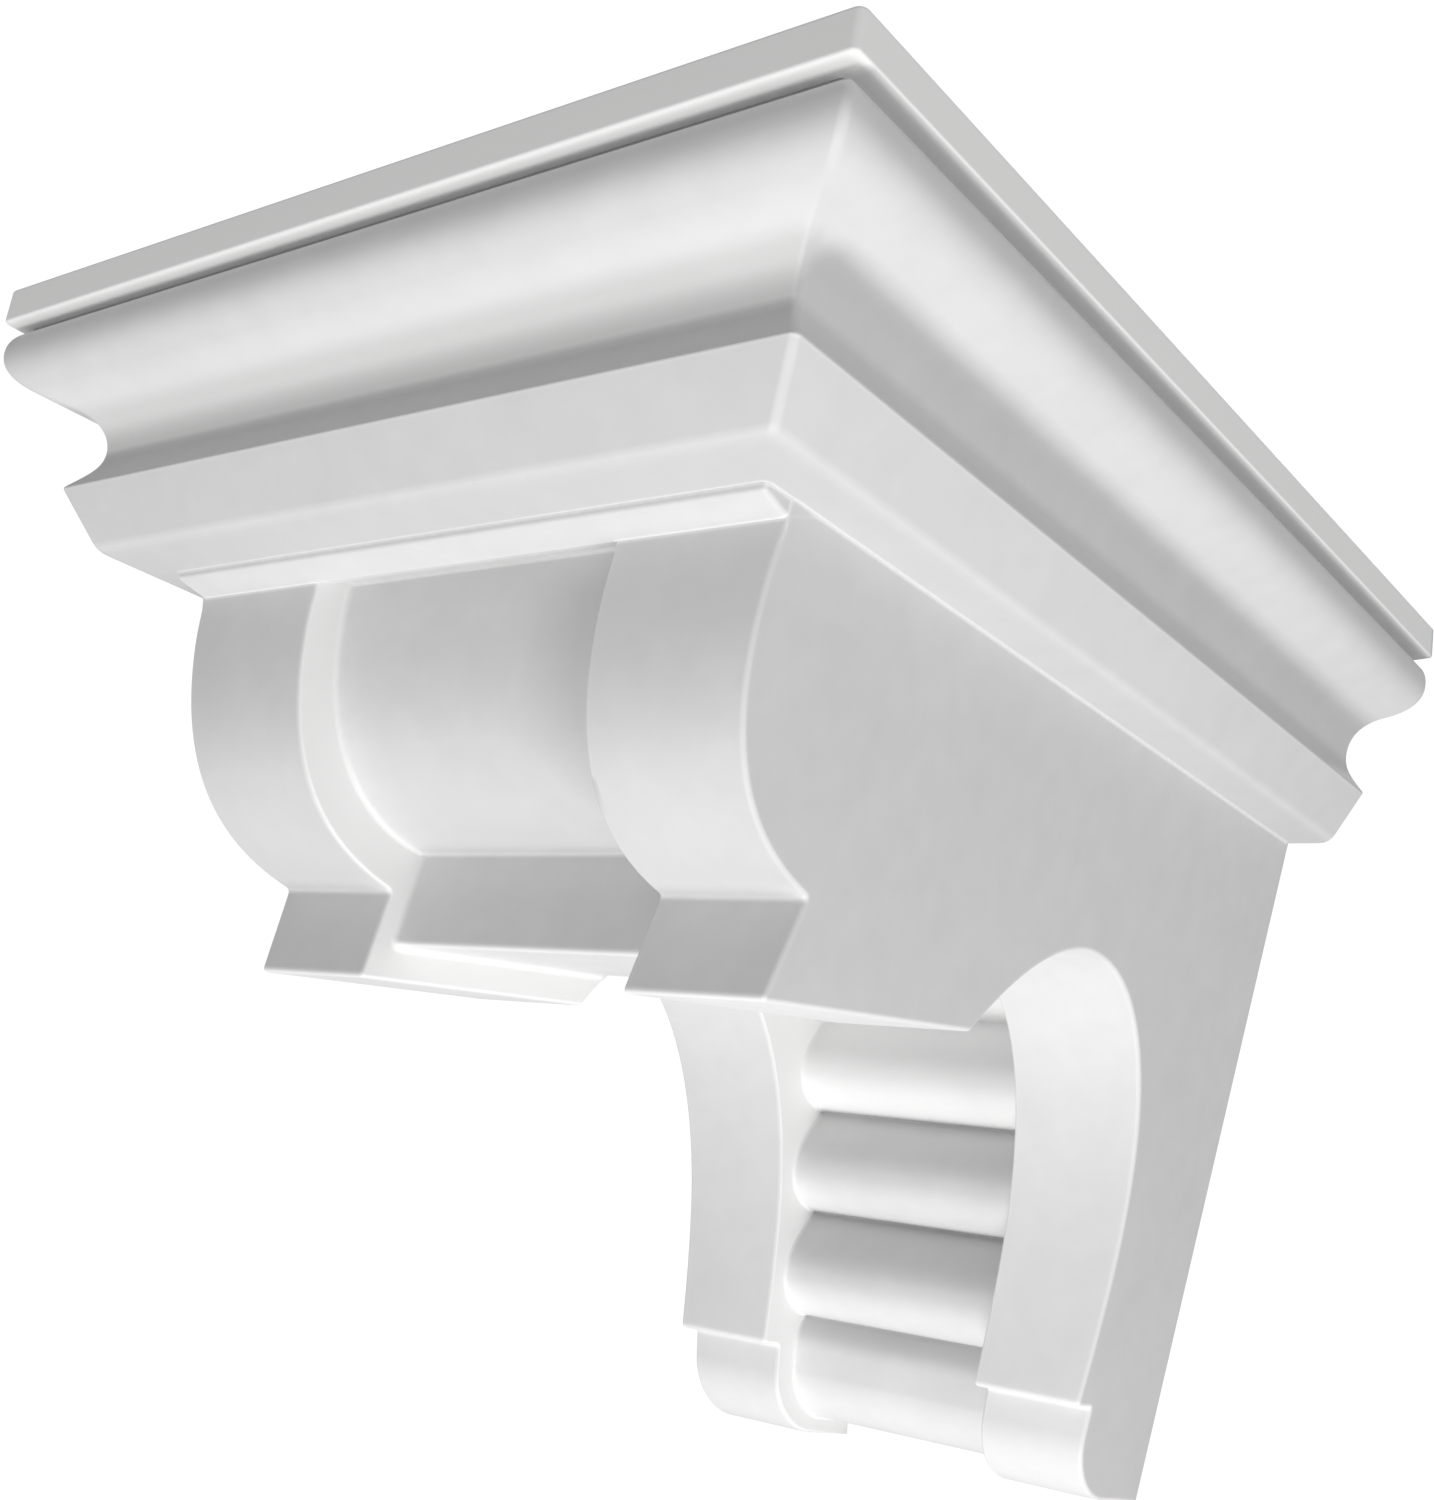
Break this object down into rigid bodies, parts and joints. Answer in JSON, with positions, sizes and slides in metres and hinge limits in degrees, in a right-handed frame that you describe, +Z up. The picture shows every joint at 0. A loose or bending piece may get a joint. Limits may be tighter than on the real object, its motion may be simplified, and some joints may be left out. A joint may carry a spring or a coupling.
{
  "type": "dentil block",
  "caption": "Moulded dentil block: mitred cornice cap on a rolled bracket with a sunk panel, an arched leg with reeds between ribs and a rounded foot, built in against a wall.",
  "frame": {"origin": "on the flat wall face (the back), on the centre line across the width and half way up the overall height", "axes": "+Y out of the wall face into the wall, so the front of the block looks along -Y; +Z up to the cap; +X across the width"},
  "size_m": [0.2, 0.236, 0.195],
  "materials": {
    "cast_white": "satin white primer"
  },
  "bodies": {
    "root": {"dentil_block": "cast_white"}
  },
  "joints": []
}
